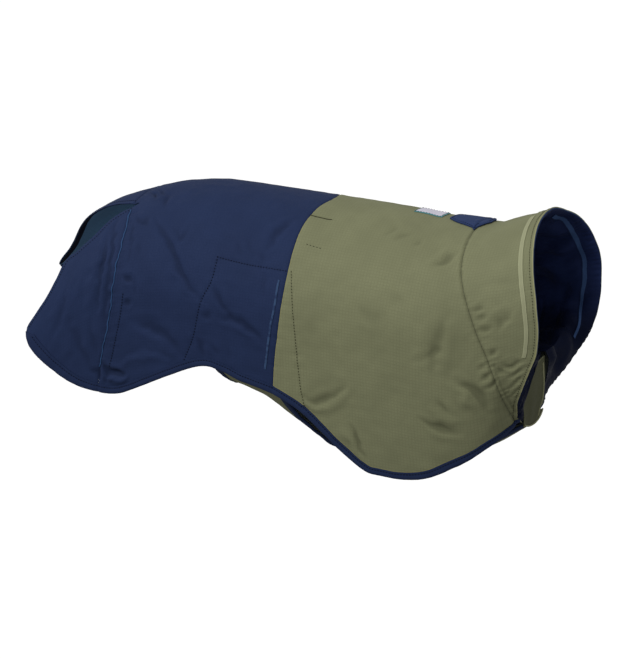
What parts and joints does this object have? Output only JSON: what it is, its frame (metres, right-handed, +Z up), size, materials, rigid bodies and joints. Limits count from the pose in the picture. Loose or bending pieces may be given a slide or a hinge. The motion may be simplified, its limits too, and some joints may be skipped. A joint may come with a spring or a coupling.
{
  "type": "dog raincoat",
  "caption": "Two-tone waterproof dog coat in its worn shape: covered back, wide collar, belly panel between the front legs, bound hem and open rear.",
  "frame": {"origin": "the back line over the withers, where the coat rests on the dog", "axes": "+X along the back towards the neck, +Y the dog's left, +Z up"},
  "size_m": [0.5708, 0.219, 0.2708],
  "materials": {
    "navy_shell": "waterproof woven shell cloth, matt",
    "olive_shell": "waterproof ripstop shell cloth, matt",
    "navy_lining": "woven lining",
    "navy_binding": "folded woven tape",
    "navy_webbing": "flat webbing",
    "blue_tape": "reflective tape, satin",
    "olive_tape": "bonded tape, satin",
    "label_cloth": "woven label, blank"
  },
  "bodies": {
    "root": {"back_panel": "navy_shell", "rear_flap_right": "navy_shell", "rear_flap_left": "navy_shell", "rear_facing_right": "navy_binding", "rear_facing_left": "navy_binding", "shoulder_panel": "olive_shell", "collar": "olive_shell", "collar_lining": "navy_lining", "throat_gusset": "olive_shell", "belly_panel": "olive_shell", "belly_binding_right": "navy_binding", "belly_binding_left": "navy_binding", "belly_binding_rear": "navy_binding", "girth_strap_right": "navy_webbing", "girth_strap_left": "navy_webbing", "hem_binding_right": "navy_binding", "hem_binding_left": "navy_binding", "rear_piping_right": "blue_tape", "rear_piping_left": "blue_tape", "side_tape_right": "blue_tape", "side_tape_left": "blue_tape", "lining_tape_right": "blue_tape", "lining_tape_left": "blue_tape", "collar_tape_right": "olive_tape", "collar_tape_left": "olive_tape", "leash_tab": "navy_shell", "label": "label_cloth"}
  },
  "joints": []
}
